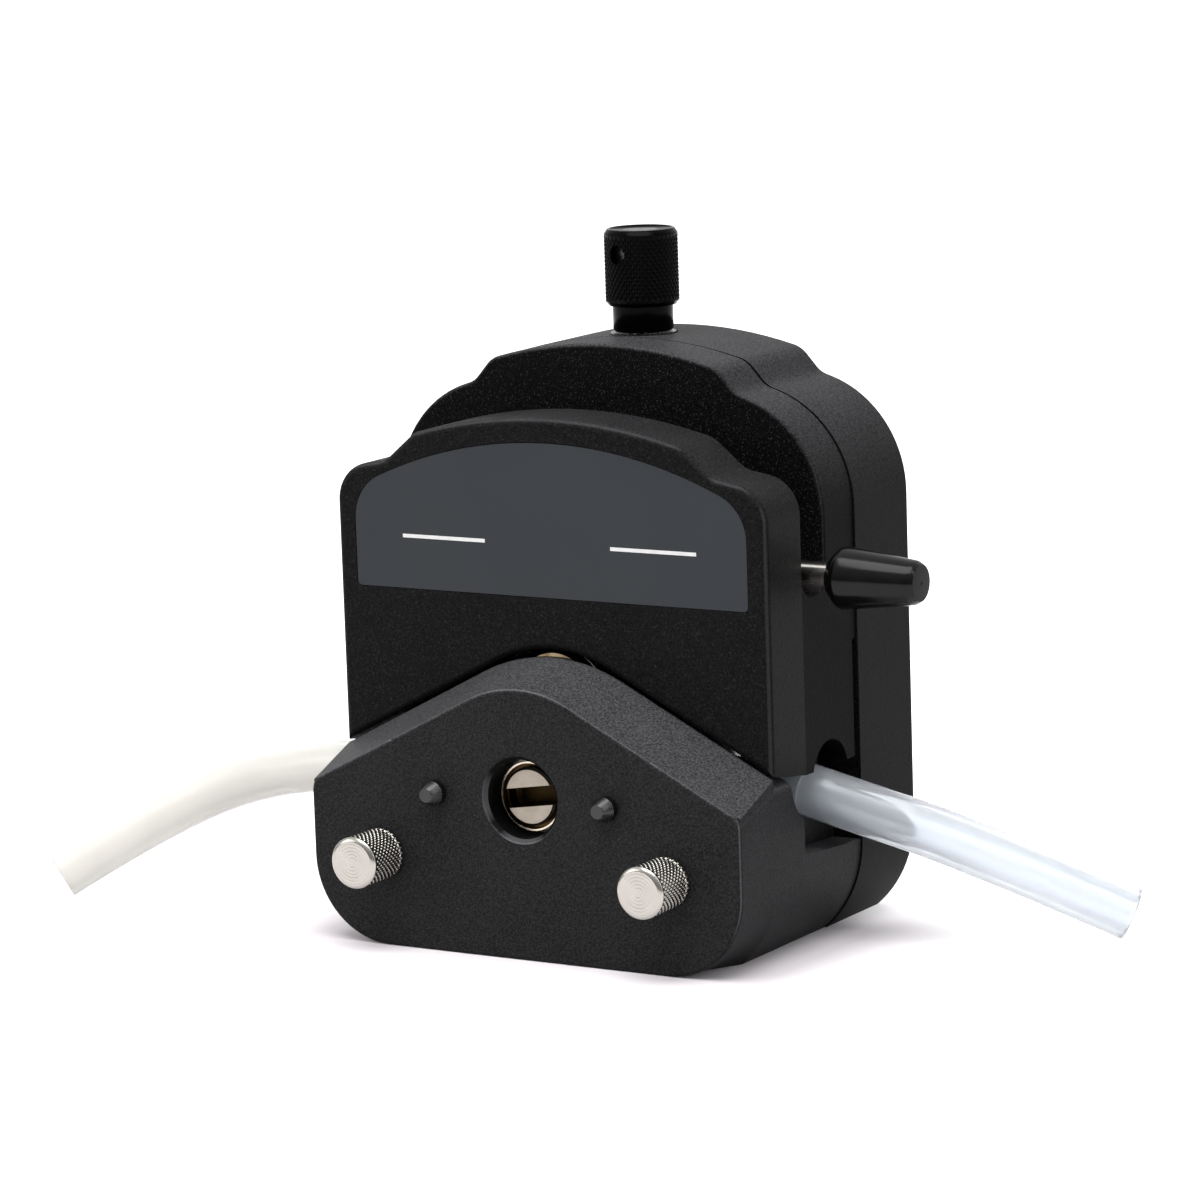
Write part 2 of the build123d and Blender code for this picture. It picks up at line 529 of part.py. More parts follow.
hole_dir = Vector(-0.22, -0.9755, 0)
with BuildPart() as gap_knob:
    with BuildSketch(Plane.XZ.offset(KNOB_D)) as turned:
        with BuildLine():
            Polyline((0, 87.8), (5.9, 87.8), (6.25, 88.2), (6.25, 93.2), (7.05, 93.2), (7.65, 93.8),
                     (7.65, 108.2), (6.95, 109.0), (0, 109.0), (0, 87.8))
        make_face()
    revolve(Pos(KNOB_X, 0, 0) * turned.sketch, axis=Axis((KNOB_X, -KNOB_D, 0), (0, 0, 1)))
    upright(KNOB_X, KNOB_D, KNOB_SCREW_R, 80, 100, Mode.SUBTRACT)
    along(Vector(KNOB_X, -KNOB_D, KNOB_HOLE_Z), hole_dir, 1.95, 12, Mode.SUBTRACT)

with BuildPart() as knob_set_screw:
    along(Vector(KNOB_X, -KNOB_D, KNOB_HOLE_Z), hole_dir, 1.95, 5.6)


# ---- rotor ---------------------------------------------------------------
def roller_place(angle, r=PITCH_R):
    a = math.radians(angle)
    return r * math.cos(a), r * math.sin(a)


PLATE_FRONT = CAVITY_FRONT - END_PLAY
PLATE_REAR = CAVITY_BACK + END_PLAY
ROLL_BACK, ROLL_FRONT = PLATE_REAR + PLATE_T + GAP, PLATE_FRONT - PLATE_T - GAP
SHAFT_FRONT, SLOT_DEEP, SLOT_WIDE, SLOT_TURN = FRONT - 3.6, 5.5, 4.0, 8.5
SLEEVE_R = 7.1


def trefoil():
    """Three arms as wide as their round ends, blended where they meet."""
    with BuildSketch(Plane.XY) as sk:
        for angle in ROLLER_ANGLES:
            with Locations(roller_place(angle)):
                Circle(HUB_R)
            with Locations(roller_place(angle, PITCH_R / 2)):
                Rectangle(PITCH_R, 2 * HUB_R, rotation=angle)
        inner = [v for v in sk.vertices()
                 if abs(math.hypot(v.X, v.Y) - HUB_R / math.sin(math.radians(60))) < 0.05]
        fillet(inner, 14.0)
        for angle in ROLLER_ANGLES:
            with Locations(roller_place(angle)):
                Circle(PIN_R, mode=Mode.SUBTRACT)
        Circle(SHAFT_R, mode=Mode.SUBTRACT)
    return sk.sketch


with BuildPart() as rotor_plate_front:
    slab(trefoil(), PLATE_FRONT - PLATE_T, PLATE_FRONT)
    post(0, 0, 7.5, PLATE_FRONT, CAVITY_FRONT, hole=SHAFT_R)

with BuildPart() as rotor_plate_rear:
    slab(trefoil(), PLATE_REAR, PLATE_REAR + PLATE_T)
    post(0, 0, 7.5, CAVITY_BACK, PLATE_REAR, hole=SHAFT_R)

with BuildPart() as rotor_spacer:
    post(0, 0, HUB_R, PLATE_REAR + PLATE_T, PLATE_FRONT - PLATE_T, hole=SHAFT_R)

with BuildPart() as roller_pins:
    for angle in ROLLER_ANGLES:
        post(*roller_place(angle), PIN_R, PLATE_REAR, PLATE_FRONT)

with BuildPart() as rotor_shaft:
    post(0, 0, SHAFT_R, 0, SHAFT_FRONT)
    tip = [e for e in rotor_shaft.edges().filter_by(GeomType.CIRCLE)
           if abs(e.center().Y + SHAFT_FRONT) < 1e-3]
    chamfer(tip, 0.5)
    with BuildSketch(Plane.XY) as blade:
        Rectangle(2 * SHAFT_R, SLOT_WIDE - 0.1, rotation=SLOT_TURN)
        with BuildSketch(Plane.XY, mode=Mode.INTERSECT):
            Circle(SHAFT_R)
    slab(blade.sketch, -8, 0)
    with BuildSketch(Plane.XY) as kerf:
        Rectangle(2 * SHAFT_R + 2, SLOT_WIDE, rotation=SLOT_TURN)
    slab(kerf.sketch, SHAFT_FRONT - SLOT_DEEP, SHAFT_FRONT + 1, Mode.SUBTRACT)

with BuildPart() as shaft_sleeve:
    post(0, 0, SLEEVE_R, CAVITY_FRONT + BEARING_W, SHAFT_FRONT - 1.8, hole=SHAFT_R)
    post(0, 0, SLEEVE_R, SHAFT_FRONT - 1.8, SHAFT_FRONT - 0.6, hole=SLEEVE_R - 0.35)

with BuildPart() as front_bearing_inner:
    post(0, 0, RACE_IN, CAVITY_FRONT, CAVITY_FRONT + BEARING_W, hole=SHAFT_R)

with BuildPart() as rear_bearing_inner:
    post(0, 0, RACE_IN, CAVITY_BACK - BEARING_W, CAVITY_BACK, hole=SHAFT_R)

rollers, bushes = [], []
for angle in ROLLER_ANGLES:
    x, z = roller_place(angle)
    with BuildPart() as roller:
        post(x, z, ROLLER_R, ROLL_BACK, ROLL_FRONT, hole=BUSH_R)
        ends_r = [e for e in roller.edges().filter_by(GeomType.CIRCLE) if abs(e.radius - ROLLER_R) < 1e-3]
        fillet(ends_r, 0.6)
    with BuildPart() as pair:
        post(x, z, BUSH_R, ROLL_BACK, ROLL_BACK + 8, hole=PIN_R + RUNNING)
        post(x, z, BUSH_R, ROLL_FRONT - 8, ROLL_FRONT, hole=PIN_R + RUNNING)
    rollers.append(roller)
    bushes.append(pair)


# ---- thumb screws --------------------------------------------------------
THUMB_FRONT = FRONT + GAP + THUMB_HEAD
thumbs = {}
for side, s in (("left", -1), ("right", 1)):
    with BuildPart() as thumb:
        post(s * THUMB_X, THUMB_Z, THUMB_R, FRONT + GAP, THUMB_FRONT)
        heads = [e for e in thumb.edges().filter_by(GeomType.CIRCLE)
                 if abs(e.center().Y + THUMB_FRONT) < 1e-3]
        chamfer(heads, 0.7)
        post(s * THUMB_X, THUMB_Z, THUMB_SHANK_R, -GAP, FRONT + GAP)
        post(s * THUMB_X, THUMB_Z, THUMB_THREAD_R, -THUMB_THREAD, -GAP)
        tips = [e for e in thumb.edges().filter_by(GeomType.CIRCLE)
                if abs(e.center().Y - THUMB_THREAD) < 1e-3]
        chamfer(tips, 0.6)
    thumbs[side] = thumb

# ---- names and files -----------------------------------------------------
named = {
    "rear_housing": rear_housing, "lower_block": lower_block, "guide_rods": guide_rods,
    "locating_pins": locating_pins, "front_bearing": front_bearing, "rear_bearing": rear_bearing,
    "housing_screws": housing_screws, "tube_clamp_left": tube_clamp_left,
    "tube_clamp_right": tube_clamp_right, "tube_loaded": tube_loaded, "tube_left": tube_left,
    "tube_right": tube_right, "knob_washer": knob_washer, "gap_knob": gap_knob,
    "knob_screw": knob_screw, "knob_set_screw": knob_set_screw,
    "knob_retaining_ring": knob_retaining_ring, "gap_carriage": gap_carriage, "mid_body": mid_body,
    "front_cover": front_cover, "label_plate": label_plate, "cover_screws": cover_screws,
    "lever_shaft": lever_shaft, "lever_hub": lever_hub, "lever_rod": lever_rod,
    "lever_handle": lever_handle, "rotor_shaft": rotor_shaft, "shaft_sleeve": shaft_sleeve,
    "front_bearing_inner": front_bearing_inner, "rear_bearing_inner": rear_bearing_inner,
    "rotor_plate_front": rotor_plate_front, "rotor_plate_rear": rotor_plate_rear,
    "rotor_spacer": rotor_spacer, "roller_pins": roller_pins,
    "thumb_screw_left": thumbs["left"], "thumb_screw_right": thumbs["right"],
}
for n, (roller, pair) in enumerate(zip(rollers, bushes), start=1):
    named[f"roller_{n}"] = roller
    named[f"roller_{n}_bushes"] = pair

for name, built in named.items():
    built.part.label = name
    export_step(built.part, f"parts/{name}.step")
    solids = built.part.solids()
    print(f"{name:22s} solids {len(solids)}  volume {built.part.volume:10.1f}  valid {built.part.is_valid}")
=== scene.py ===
import math

import bmesh
import bpy
from mathutils import Matrix, Vector


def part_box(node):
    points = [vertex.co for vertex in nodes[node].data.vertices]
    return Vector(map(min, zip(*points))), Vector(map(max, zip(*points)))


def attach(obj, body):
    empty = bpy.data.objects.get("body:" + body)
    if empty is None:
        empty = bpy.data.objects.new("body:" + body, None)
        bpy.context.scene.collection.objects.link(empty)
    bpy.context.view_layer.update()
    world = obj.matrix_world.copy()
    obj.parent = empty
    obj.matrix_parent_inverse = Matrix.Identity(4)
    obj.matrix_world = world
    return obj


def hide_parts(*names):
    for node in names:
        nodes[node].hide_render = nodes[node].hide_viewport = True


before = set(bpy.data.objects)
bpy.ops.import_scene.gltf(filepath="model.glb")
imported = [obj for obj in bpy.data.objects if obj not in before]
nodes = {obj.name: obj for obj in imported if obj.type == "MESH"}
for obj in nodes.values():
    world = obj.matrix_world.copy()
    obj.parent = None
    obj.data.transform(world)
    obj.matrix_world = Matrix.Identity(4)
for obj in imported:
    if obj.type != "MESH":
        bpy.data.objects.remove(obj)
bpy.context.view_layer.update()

# Peristaltic pump head.  All lengths are in metres; the pump's own sizes are written in millimetres and
# multiplied by MM.  The front is -Y, the drive is +Y, up is +Z, and the shaft lies on the Y axis.
MM = 0.001


def size_of(node):
    """A node's lowest and highest corner as vectors."""
    low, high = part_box(node)
    return Vector(low), Vector(high)


# ---- camera ---------------------------------------------------------------
def make_camera():
    """A long lens to the right of the front and a little above it."""
    yaw, pitch, roll = math.radians(31.5), math.radians(9.9), math.radians(-1.9)
    look = Vector((-math.sin(yaw) * math.cos(pitch), math.cos(yaw) * math.cos(pitch), -math.sin(pitch)))
    level = Vector((math.cos(yaw), math.sin(yaw), 0))
    up = level.cross(look)
    right = math.cos(roll) * level + math.sin(roll) * up
    top = math.cos(roll) * up - math.sin(roll) * level
    turn = Matrix((right, top, -look)).transposed()
    data = bpy.data.cameras.new("camera")
    data.lens, data.sensor_width = 154.16, 36.0
    data.clip_start, data.clip_end = 0.05, 20.0
    camera = bpy.data.objects.new("camera", data)
    camera.matrix_world = Matrix.Translation(Vector((540.4, -920.7, 215.7)) * MM) @ turn.to_4x4()
    bpy.context.scene.collection.objects.link(camera)
    bpy.context.scene.camera = camera


make_camera()


# ---- node helpers ---------------------------------------------------------
def fresh(name):
    """A new material, its node tree and its Principled shader."""
    material = bpy.data.materials.new(name)
    material.use_nodes = True
    tree = material.node_tree
    return material, tree, tree.nodes["Principled BSDF"]


def add(tree, kind, **values):
    """A node with its properties set by name."""
    made = tree.nodes.new(kind)
    for key, value in values.items():
        setattr(made, key, value)
    return made


def link(tree, a, b):
    """Joins the output a to the input b."""
    tree.links.new(a, b)


def maths(tree, operation, *values, clamp=False):
    """A sum on up to three values, each a number or another node's output."""
    made = add(tree, "ShaderNodeMath", operation=operation, use_clamp=clamp)
    for socket, value in zip(made.inputs, values):
        if isinstance(value, (int, float)):
            socket.default_value = value
        else:
            link(tree, value, socket)
    return made.outputs[0]


def distance(tree, a, b):
    """The square root of a squared plus b squared."""
    return maths(tree, "SQRT", maths(tree, "ADD", maths(tree, "MULTIPLY", a, a), maths(tree, "MULTIPLY", b, b)))


def noise(tree, where, scale, detail, rough=0.5):
    """Fractal noise from 0 to 1, of `scale` blobs to the metre."""
    made = add(tree, "ShaderNodeTexNoise")
    made.inputs["Scale"].default_value = scale
    made.inputs["Detail"].default_value = detail
    made.inputs["Roughness"].default_value = rough
    link(tree, where, made.inputs["Vector"])
    return made.outputs["Fac"]


def ramp(tree, value, stops):
    """A value or colour ramp: stops are (position, grey or colour)."""
    made = add(tree, "ShaderNodeValToRGB")
    elements = made.color_ramp.elements
    while len(elements) < len(stops):
        elements.new(0.5)
    for element, (position, colour) in zip(elements, stops):
        element.position = position
        grey = (colour, colour, colour) if isinstance(colour, (int, float)) else colour
        element.color = (*grey, 1.0)
    link(tree, value, made.inputs["Fac"])
    return made.outputs["Color"]


def bump(tree, shader, height, depth, strength, under=None):
    """A bump of so many metres, on top of the bump `under`; with no shader it only serves as another's `under`."""
    made = add(tree, "ShaderNodeBump")
    made.inputs["Strength"].default_value = strength
    made.inputs["Distance"].default_value = depth
    link(tree, height, made.inputs["Height"])
    if under is not None:
        link(tree, under, made.inputs["Normal"])
    if shader is not None:
        link(tree, made.outputs["Normal"], shader.inputs["Normal"])
    return made.outputs["Normal"]


def place(tree):
    """A point's place in its piece's own coordinates."""
    return add(tree, "ShaderNodeTexCoord").outputs["Object"]


def facing(tree):
    """The x, y and z of the surface's normal, in its piece's own coordinates."""
    return spread(tree, add(tree, "ShaderNodeTexCoord").outputs["Normal"])


def spread(tree, vector):
    """The x, y and z of a vector."""
    made = add(tree, "ShaderNodeSeparateXYZ")
    link(tree, vector, made.inputs[0])
    return made.outputs


# ---- materials ------------------------------------------------------------
def moulded_black(name, shade, painted_top_light, speckle, level, bore=None):
    """Glass-filled black plastic with a fine pebbled grain.

    `shade` is the tone of an upright face, and the next argument is painted top light: the share by which a
    level face is painted paler, standing in for light from above.  `speckle` is the strength of the pale flecks on
    faces that look forward, and `level` that of the reflections.  The wall of a hole of radius `bore` on the Y axis
    is painted darker as shade, and eased edges that look forward and up or right are painted paler as a highlight.
    """
    material, tree, shader = fresh(name)
    where = place(tree)
    grain = noise(tree, where, 2400, 3.0, 0.6)
    pebble = noise(tree, where, 1300, 2.0)
    patch = noise(tree, where, 60, 2.0)
    flecks = ramp(tree, noise(tree, where, 2600, 1.0), ((0.60, 0.0), (0.74, 1.0)))
    right, back, top = facing(tree)
    forward = maths(tree, "MULTIPLY", back, -1.0, clamp=True)
    upward = maths(tree, "MULTIPLY", top, 1.0, clamp=True)
    crumb = ramp(tree, grain, ((0.38, 0.0), (0.64, 1.0)))
    mottle = maths(tree, "ADD", maths(tree, "MULTIPLY", patch, 0.4), maths(tree, "MULTIPLY", crumb, 1.1))
    tone = maths(tree, "MULTIPLY", maths(tree, "ADD", mottle, 0.3), shade)
    # painted top light: faces that look up are painted paler, standing in for light from above
    tone = maths(tree, "MULTIPLY", tone, maths(tree, "ADD", maths(tree, "MULTIPLY", upward, painted_top_light), 1.0))
    # painted shade: the wall of the hole round the shaft is painted nearly black
    if bore:
        x, _, z = spread(tree, where)
        reach = maths(tree, "DIVIDE", distance(tree, x, z), 2 * bore)
        hole_shade = ramp(tree, reach, ((0.5, 0.06), (0.51, 1.0)))   # 0.5 is the hole's edge
        tone = maths(tree, "MULTIPLY", tone, hole_shade)
    lit = maths(tree, "MULTIPLY", flecks, maths(tree, "MULTIPLY", forward, speckle * 0.11))
    # painted highlight: eased edges that look forward and up or right are painted paler
    lifted = maths(tree, "MAXIMUM", upward, right)
    edge_highlight = ramp(tree, maths(tree, "MULTIPLY", forward, lifted), ((0.40, 0.0), (0.48, 1.0)))
    tone = maths(tree, "ADD", tone, maths(tree, "ADD", lit, maths(tree, "MULTIPLY", edge_highlight, 3.5 * shade)))
    colour = add(tree, "ShaderNodeCombineColor")
    link(tree, tone, colour.inputs[0])
    link(tree, tone, colour.inputs[1])
    link(tree, maths(tree, "MULTIPLY", tone, 1.06), colour.inputs[2])
    link(tree, colour.outputs[0], shader.inputs["Base Color"])
    link(tree, maths(tree, "MULTIPLY_ADD", grain, 0.14, 0.43), shader.inputs["Roughness"])
    shader.inputs["Specular IOR Level"].default_value = level
    coarse = bump(tree, None, pebble, 0.08 * MM, 0.6)
    bump(tree, shader, grain, 0.045 * MM, 0.9, coarse)
    return material


def slate_plate():
    """Satin slate-grey printed plate."""
    material, tree, shader = fresh("label_slate")
    where = place(tree)
    soft = noise(tree, where, 45, 2.0)
    colour = ramp(tree, soft, ((0.3, (0.021, 0.025, 0.030)), (0.7, (0.024, 0.028, 0.033))))
    link(tree, colour, shader.inputs["Base Color"])
    shader.inputs["Roughness"].default_value = 0.38
    shader.inputs["Specular IOR Level"].default_value = 0.2
    bump(tree, shader, noise(tree, where, 2500, 2.0), 0.01 * MM, 0.3)
    return material


def paint_white():
    """Matt white printing ink."""
    material, tree, shader = fresh("print_white")
    mottle = noise(tree, place(tree), 900, 2.0)
    link(tree, ramp(tree, mottle, ((0.2, 0.72), (0.8, 0.82))), shader.inputs["Base Color"])
    shader.inputs["Roughness"].default_value = 0.45
    return material


def turned_metal(name, colour, roughness, rings=2600.0, ring_depth=0.02, axis="Y", tarnish=None, recess_shade=None):
    """Lathe-turned metal: fine rings round the axis, on ends and sides alike, and a little staining.

    There are `rings` to the metre, `ring_depth` mm deep, and `tarnish` is the colour of the stains.  The last
    argument, (front, width, depth), paints shade: metal further than that width behind the front plane, in a
    recess, is painted nearly black, as far as that depth.
    """
    material, tree, shader = fresh(name)
    where = place(tree)
    x, y, z = spread(tree, where)
    a, b, along = (x, z, y) if axis == "Y" else (x, y, z)
    path = maths(tree, "ADD", distance(tree, a, b), along)
    wave = maths(tree, "SINE", maths(tree, "MULTIPLY", path, rings * 2 * math.pi))
    uneven = add(tree, "ShaderNodeTexNoise", noise_dimensions="1D")
    uneven.inputs["Scale"].default_value = 1400
    uneven.inputs["Detail"].default_value = 4
    link(tree, path, uneven.inputs["W"])
    height = maths(tree, "MULTIPLY_ADD", wave, 0.15, uneven.outputs["Fac"])
    stain = noise(tree, where, 260, 3.0)
    dark = tarnish or tuple(0.82 * c for c in colour)
    mix = ramp(tree, stain, ((0.35, dark), (0.65, colour)))
    # painted shade: metal deep in a recess is painted a dark brown-black
    if recess_shade:
        front, width, deep = recess_shade
        depth = maths(tree, "DIVIDE", maths(tree, "SUBTRACT", y, front), deep)
        near, shade_colour = width / deep, (0.06, 0.042, 0.02)
        shade_ramp = ramp(tree, depth, ((near, 1.0), (1.4 * near, shade_colour), (0.97, shade_colour), (1.0, 1.0)))
        shaded = add(tree, "ShaderNodeVectorMath", operation="MULTIPLY")
        link(tree, mix, shaded.inputs[0])
        link(tree, shade_ramp, shaded.inputs[1])
        mix = shaded.outputs["Vector"]
    link(tree, mix, shader.inputs["Base Color"])
    shader.inputs["Metallic"].default_value = 1.0
    rough = maths(tree, "MULTIPLY_ADD", uneven.outputs["Fac"], 0.16, roughness - 0.08)
    link(tree, rough, shader.inputs["Roughness"])
    bump(tree, shader, height, ring_depth * MM, 0.35)
    return material


def polished(name, colour, roughness):
    """Polished metal with faint clouding."""
    material, tree, shader = fresh(name)
    where = place(tree)
    dull = tuple(0.9 * c for c in colour)
    link(tree, ramp(tree, noise(tree, where, 300, 3.0), ((0.3, dull), (0.7, colour))), shader.inputs["Base Color"])
    shader.inputs["Metallic"].default_value = 1.0
    rough = maths(tree, "MULTIPLY_ADD", noise(tree, where, 1500, 2.0), 0.06, roughness - 0.03)
    link(tree, rough, shader.inputs["Roughness"])
    return material


def black_metal(name, shade, roughness, level, top_level=None):
    """Black-oxide steel; `top_level` is the stronger reflection of a brushed face that looks up."""
    material, tree, shader = fresh(name)
    where = place(tree)
    tone = ramp(tree, noise(tree, where, 500, 3.0), ((0.3, shade * 0.7), (0.7, shade * 1.3)))
    link(tree, tone, shader.inputs["Base Color"])
    rough = maths(tree, "MULTIPLY_ADD", noise(tree, where, 2400, 3.0), 0.2, roughness - 0.1)
    link(tree, rough, shader.inputs["Roughness"])
    shader.inputs["Specular IOR Level"].default_value = level
    if top_level:
        upward = ramp(tree, facing(tree)[2], ((0.95, level), (0.99, top_level)))
        link(tree, upward, shader.inputs["Specular IOR Level"])
    bump(tree, shader, noise(tree, where, 3800, 2.0), 0.012 * MM, 0.4)
    return material


def gloss_black():
    """Polished black phenolic for the lever's handle, left dull on its end face."""
    material, tree, shader = fresh("handle_black")
    where = place(tree)
    link(tree, ramp(tree, noise(tree, where, 200, 2.0), ((0.3, 0.002), (0.7, 0.004))), shader.inputs["Base Color"])
    link(tree, ramp(tree, facing(tree)[2], ((0.93, 0.16), (0.99, 0.62))), shader.inputs["Roughness"])
    shader.inputs["Specular IOR Level"].default_value = 0.17
    bump(tree, shader, noise(tree, where, 700, 2.0), 0.008 * MM, 0.2)
    return material


def silicone(name, tint, milk, roughness):
    """Translucent tube with a faintly wavy skin; `milk` is the milky share and the rest is glassy."""
    material, tree, shader = fresh(name)
    where = place(tree)
    cloud = noise(tree, where, 55, 3.0)
    dull = tuple(0.95 * c for c in tint)
    link(tree, ramp(tree, cloud, ((0.3, dull), (0.7, tint))), shader.inputs["Base Color"])
    shader.inputs["Transmission Weight"].default_value = 1.0 - milk
    shader.inputs["IOR"].default_value = 1.41
    rough = maths(tree, "MULTIPLY_ADD", noise(tree, where, 900, 2.0), 0.08, roughness - 0.04)
    link(tree, rough, shader.inputs["Roughness"])
    shader.inputs["Subsurface Weight"].default_value = 0.35
    shader.inputs["Subsurface Radius"].default_value = (1.0, 1.0, 1.0)
    shader.inputs["Subsurface Scale"].default_value = 3 * MM
    bump(tree, shader, noise(tree, where, 420, 2.0), 0.02 * MM, 0.3)
    return material


def front_of(node):
    """The y of a node's front plane in that node's own coordinates."""
    return size_of(node)[0].y - nodes[node].matrix_world.translation.y


# The second number of each black is painted top light, the share by which faces looking up are painted paler.
materials = {
    "body": moulded_black("body_black", shade=0.0168, painted_top_light=1.9, speckle=0.12, level=0.05, bore=8.7 * MM),
    "cover": moulded_black("body_black_cover", shade=0.0058, painted_top_light=1.8, speckle=0.14, level=0.04),
    "rear": moulded_black("body_black_rear", shade=0.0058, painted_top_light=5.5, speckle=0.1, level=0.03),
    "body_mid": moulded_black("body_black_coarse", shade=0.0034, painted_top_light=11.0, speckle=0.26, level=0.02),
    "label": slate_plate(),
    "print": paint_white(),
    "steel": turned_metal("stainless", (0.60, 0.56, 0.50), roughness=0.30),
    # The shaft and the sleeve carry painted shade deep inside the slot and the sleeve.
    "shaft": turned_metal("shaft_steel", (0.25, 0.225, 0.185), roughness=0.32, ring_depth=0.008,
                          recess_shade=(front_of("rotor_shaft"), 0.55 * MM, 6.5 * MM)),
    "sleeve": turned_metal("sleeve_steel", (0.56, 0.50, 0.40), roughness=0.22, ring_depth=0.004,
                           recess_shade=(front_of("shaft_sleeve"), 0.25 * MM, 20 * MM)),
    "thumb": turned_metal("thumb_steel", (0.37, 0.36, 0.33), roughness=0.22, rings=2000.0, ring_depth=0.004,
                          axis="Z", tarnish=(0.34, 0.325, 0.295)),
    "bright": polished("polished_steel", (0.78, 0.75, 0.70), roughness=0.2),
    "oxide": black_metal("black_steel", shade=0.004, roughness=0.24, level=0.45),
    "knob": black_metal("black_steel_knob", shade=0.0006, roughness=0.2, level=0.035, top_level=0.9),
    "handle": gloss_black(),
    "rotor": turned_metal("rotor_metal", (0.34, 0.27, 0.17), roughness=0.3, tarnish=(0.14, 0.10, 0.06)),
    "bush": turned_metal("bush_bronze", (0.55, 0.36, 0.16), roughness=0.35),
    "tube_left": silicone("tube_milky", (0.93, 0.92, 0.88), milk=0.45, roughness=0.16),
    "tube_right": silicone("tube_clear", (0.86, 0.90, 0.94), milk=0.22, roughness=0.12),
}

# The nodes that wear each material.
finish = {
    "body": ("lower_block", "tube_clamp_left", "tube_clamp_right"),
    "rear": ("rear_housing",),
    "cover": ("front_cover",),
    "body_mid": ("mid_body",),
    "label": ("label_plate",),
    "steel": ("guide_rods", "front_bearing", "rear_bearing", "housing_screws", "knob_screw", "cover_screws",
              "knob_retaining_ring", "lever_shaft", "front_bearing_inner", "rear_bearing_inner", "roller_pins",
              "roller_1", "roller_2", "roller_3"),
    "thumb": ("thumb_screw_left", "thumb_screw_right"),
    "shaft": ("rotor_shaft",),
    "sleeve": ("shaft_sleeve",),
    "bright": ("lever_rod",),
    "oxide": ("knob_washer", "locating_pins", "knob_set_screw", "lever_hub"),
    "knob": ("gap_knob",),
    "handle": ("lever_handle",),
    "rotor": ("gap_carriage", "rotor_plate_front", "rotor_plate_rear", "rotor_spacer"),
    "bush": ("roller_1_bushes", "roller_2_bushes", "roller_3_bushes"),
    "tube_left": ("tube_left",),
    "tube_right": ("tube_right", "tube_loaded"),
}
for key, names in finish.items():
    for node in names:
        nodes[node].data.materials.clear()
        nodes[node].data.materials.append(materials[key])


# ---- mesh helpers ---------------------------------------------------------
FRONT = 72 * MM                                          # the lower block's front face, measured along -Y
FRONT_TURN = Matrix.Rotation(math.radians(90), 3, "X")   # local Z becomes -Y


def mesh_object(name, points, faces, material, smooth=True, origin=(0, 0, 0), turn=None, crease=32):
    """A mesh whose local frame stands at `origin`; `turn` is a rotation of that frame.

    Edges that bend by more than `crease` degrees stay sharp.
    """
    mesh = bpy.data.meshes.new(name)
    mesh.from_pydata([tuple(p) for p in points], [], faces)
    mesh.update()
    mesh.materials.append(material)
    merged = bmesh.new()
    merged.from_mesh(mesh)
    bmesh.ops.remove_doubles(merged, verts=merged.verts, dist=1e-7)
    bmesh.ops.recalc_face_normals(merged, faces=merged.faces)
    merged.to_mesh(mesh)
    merged.free()
    mesh.polygons.foreach_set("use_smooth", [smooth] * len(mesh.polygons))
    if smooth:
        mesh.set_sharp_from_angle(angle=math.radians(crease))
    made = bpy.data.objects.new(name, mesh)
    frame_matrix = Matrix.Translation(Vector(origin))
    if turn is not None:
        frame_matrix = frame_matrix @ turn.to_4x4()
    made.matrix_world = frame_matrix
    bpy.context.scene.collection.objects.link(made)
    return made


def rings_to_faces(count, around):
    """Quads between rings of points, each ring closed on itself."""
    return [(r * around + s, r * around + (s + 1) % around, (r + 1) * around + (s + 1) % around,
             (r + 1) * around + s) for r in range(count - 1) for s in range(around)]


def swept(profile, around):
    """The points that (radius, height) pairs give when each is turned about Z in so many steps."""
    angles = [2 * math.pi * s / around for s in range(around)]
    return [(radius * math.cos(a), radius * math.sin(a), height) for radius, height in profile for a in angles]


def measured(pairs, start, way=1):
    """(radius, distance) pairs in mm as (radius, height) pairs, up from the height `start` or, with way -1, down."""
    return [(radius * MM, start + way * step * MM) for radius, step in pairs]


def turned(name, profile, material, **where):
    """A closed solid of revolution about local Z from (radius, height) pairs, from axis to axis."""
    around = 96
    faces = rings_to_faces(len(profile), around)
    return mesh_object(name, swept(profile, around), faces, material, **where)


def groove(t, width):
    """A V groove at every whole number, as a depth from 0 to 1; its width is a share of the pitch."""
    near = abs(t - round(t)) * 2
    return max(0.0, 1.0 - near / width)


def knurled(name, radius, low, high, before, after, material, cells, pitch, depth, width, **where):
    """A diamond-knurled bar about local Z between plain profiles before and after it.

    There are `cells` diamonds round it, each `pitch` long, cut by grooves of a `width` that is a share of the
    pitch.
    """
    steps = 8   # rows and columns of points in each diamond
    around = cells * steps
    rows = round((high - low) / pitch * steps)
    points = swept(before, around)
    for row in range(rows + 1):
        h = low + (high - low) * row / rows
        edge = min(1.0, min(row, rows - row) / 4)
        for s in range(around):
            u, v, a = s / steps, h / pitch, 2 * math.pi * s / around
            r = radius - depth * edge * max(groove(u + v, width), groove(u - v, width))
            points.append((r * math.cos(a), r * math.sin(a), h))
    points += swept(after, around)
    count = len(before) + rows + 1 + len(after)
    return mesh_object(name, points, rings_to_faces(count, around), material, crease=70, **where)


